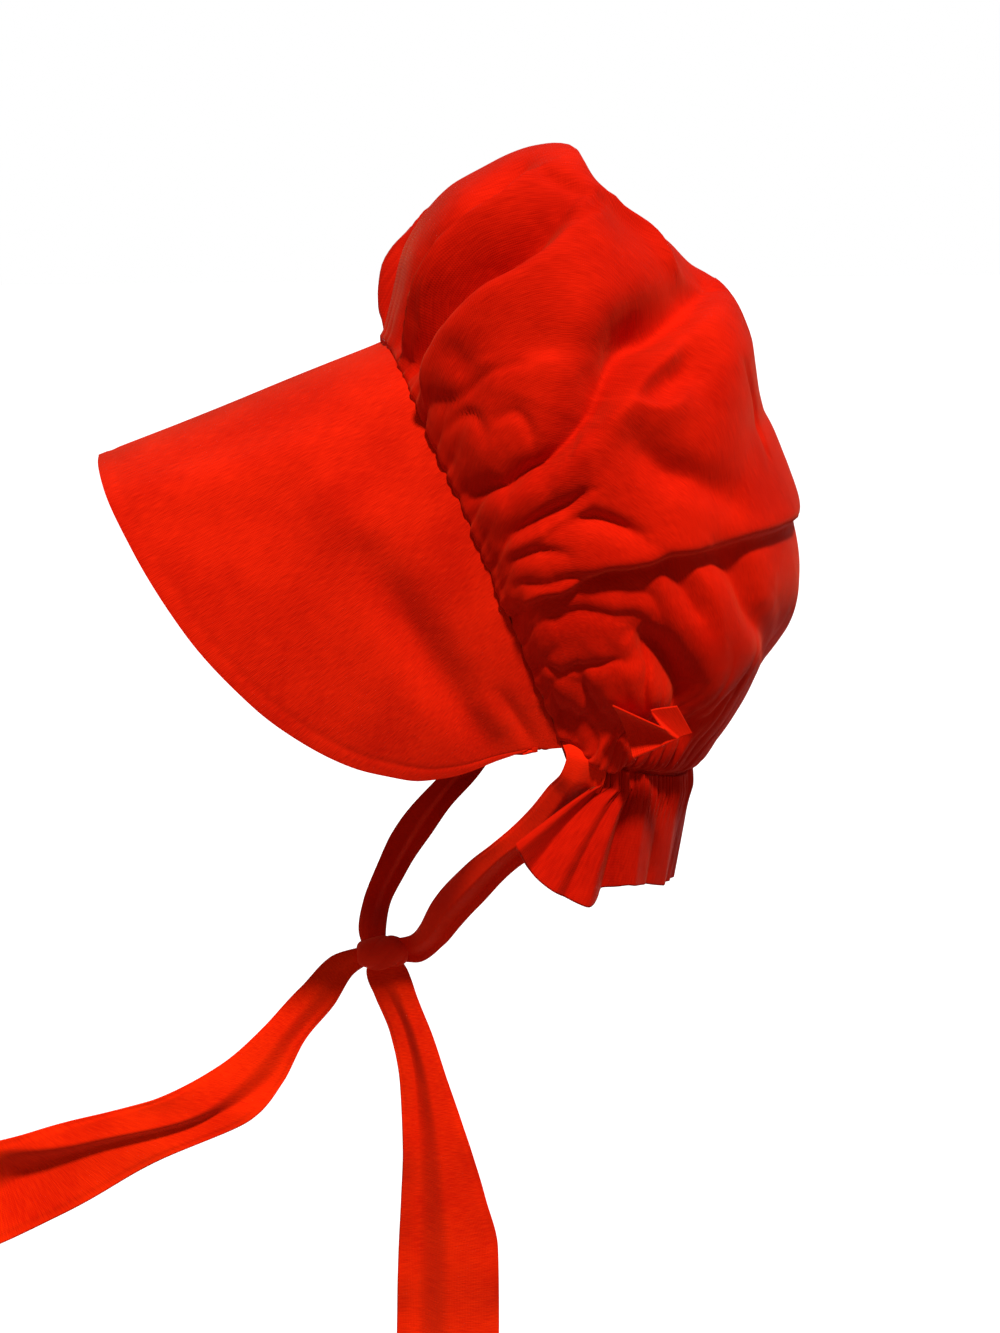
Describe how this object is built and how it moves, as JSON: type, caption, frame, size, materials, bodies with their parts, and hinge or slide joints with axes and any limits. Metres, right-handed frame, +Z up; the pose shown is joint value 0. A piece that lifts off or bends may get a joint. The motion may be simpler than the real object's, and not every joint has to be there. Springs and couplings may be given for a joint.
{
  "type": "prairie bonnet",
  "caption": "Cloth sun bonnet with a stiff poke brim, a puffed crown gathered into the brim seam, a short neck curtain and ties knotted under the chin.",
  "frame": {"origin": "the point inside the top of the brim seam where the bonnet rests on the head", "axes": "+Z up, -Y the way the wearer faces, +X the wearer's left"},
  "size_m": [0.2068, 0.3895, 0.5763],
  "materials": {
    "red_cotton": "matte plain-weave cotton"
  },
  "bodies": {
    "root": {"crown": "red_cotton", "brim": "red_cotton", "neck_band": "red_cotton", "curtain": "red_cotton", "neck_tape": "red_cotton", "tie_left": "red_cotton", "tie_right": "red_cotton", "knot": "red_cotton", "tail_left": "red_cotton", "tail_right": "red_cotton"}
  },
  "joints": []
}
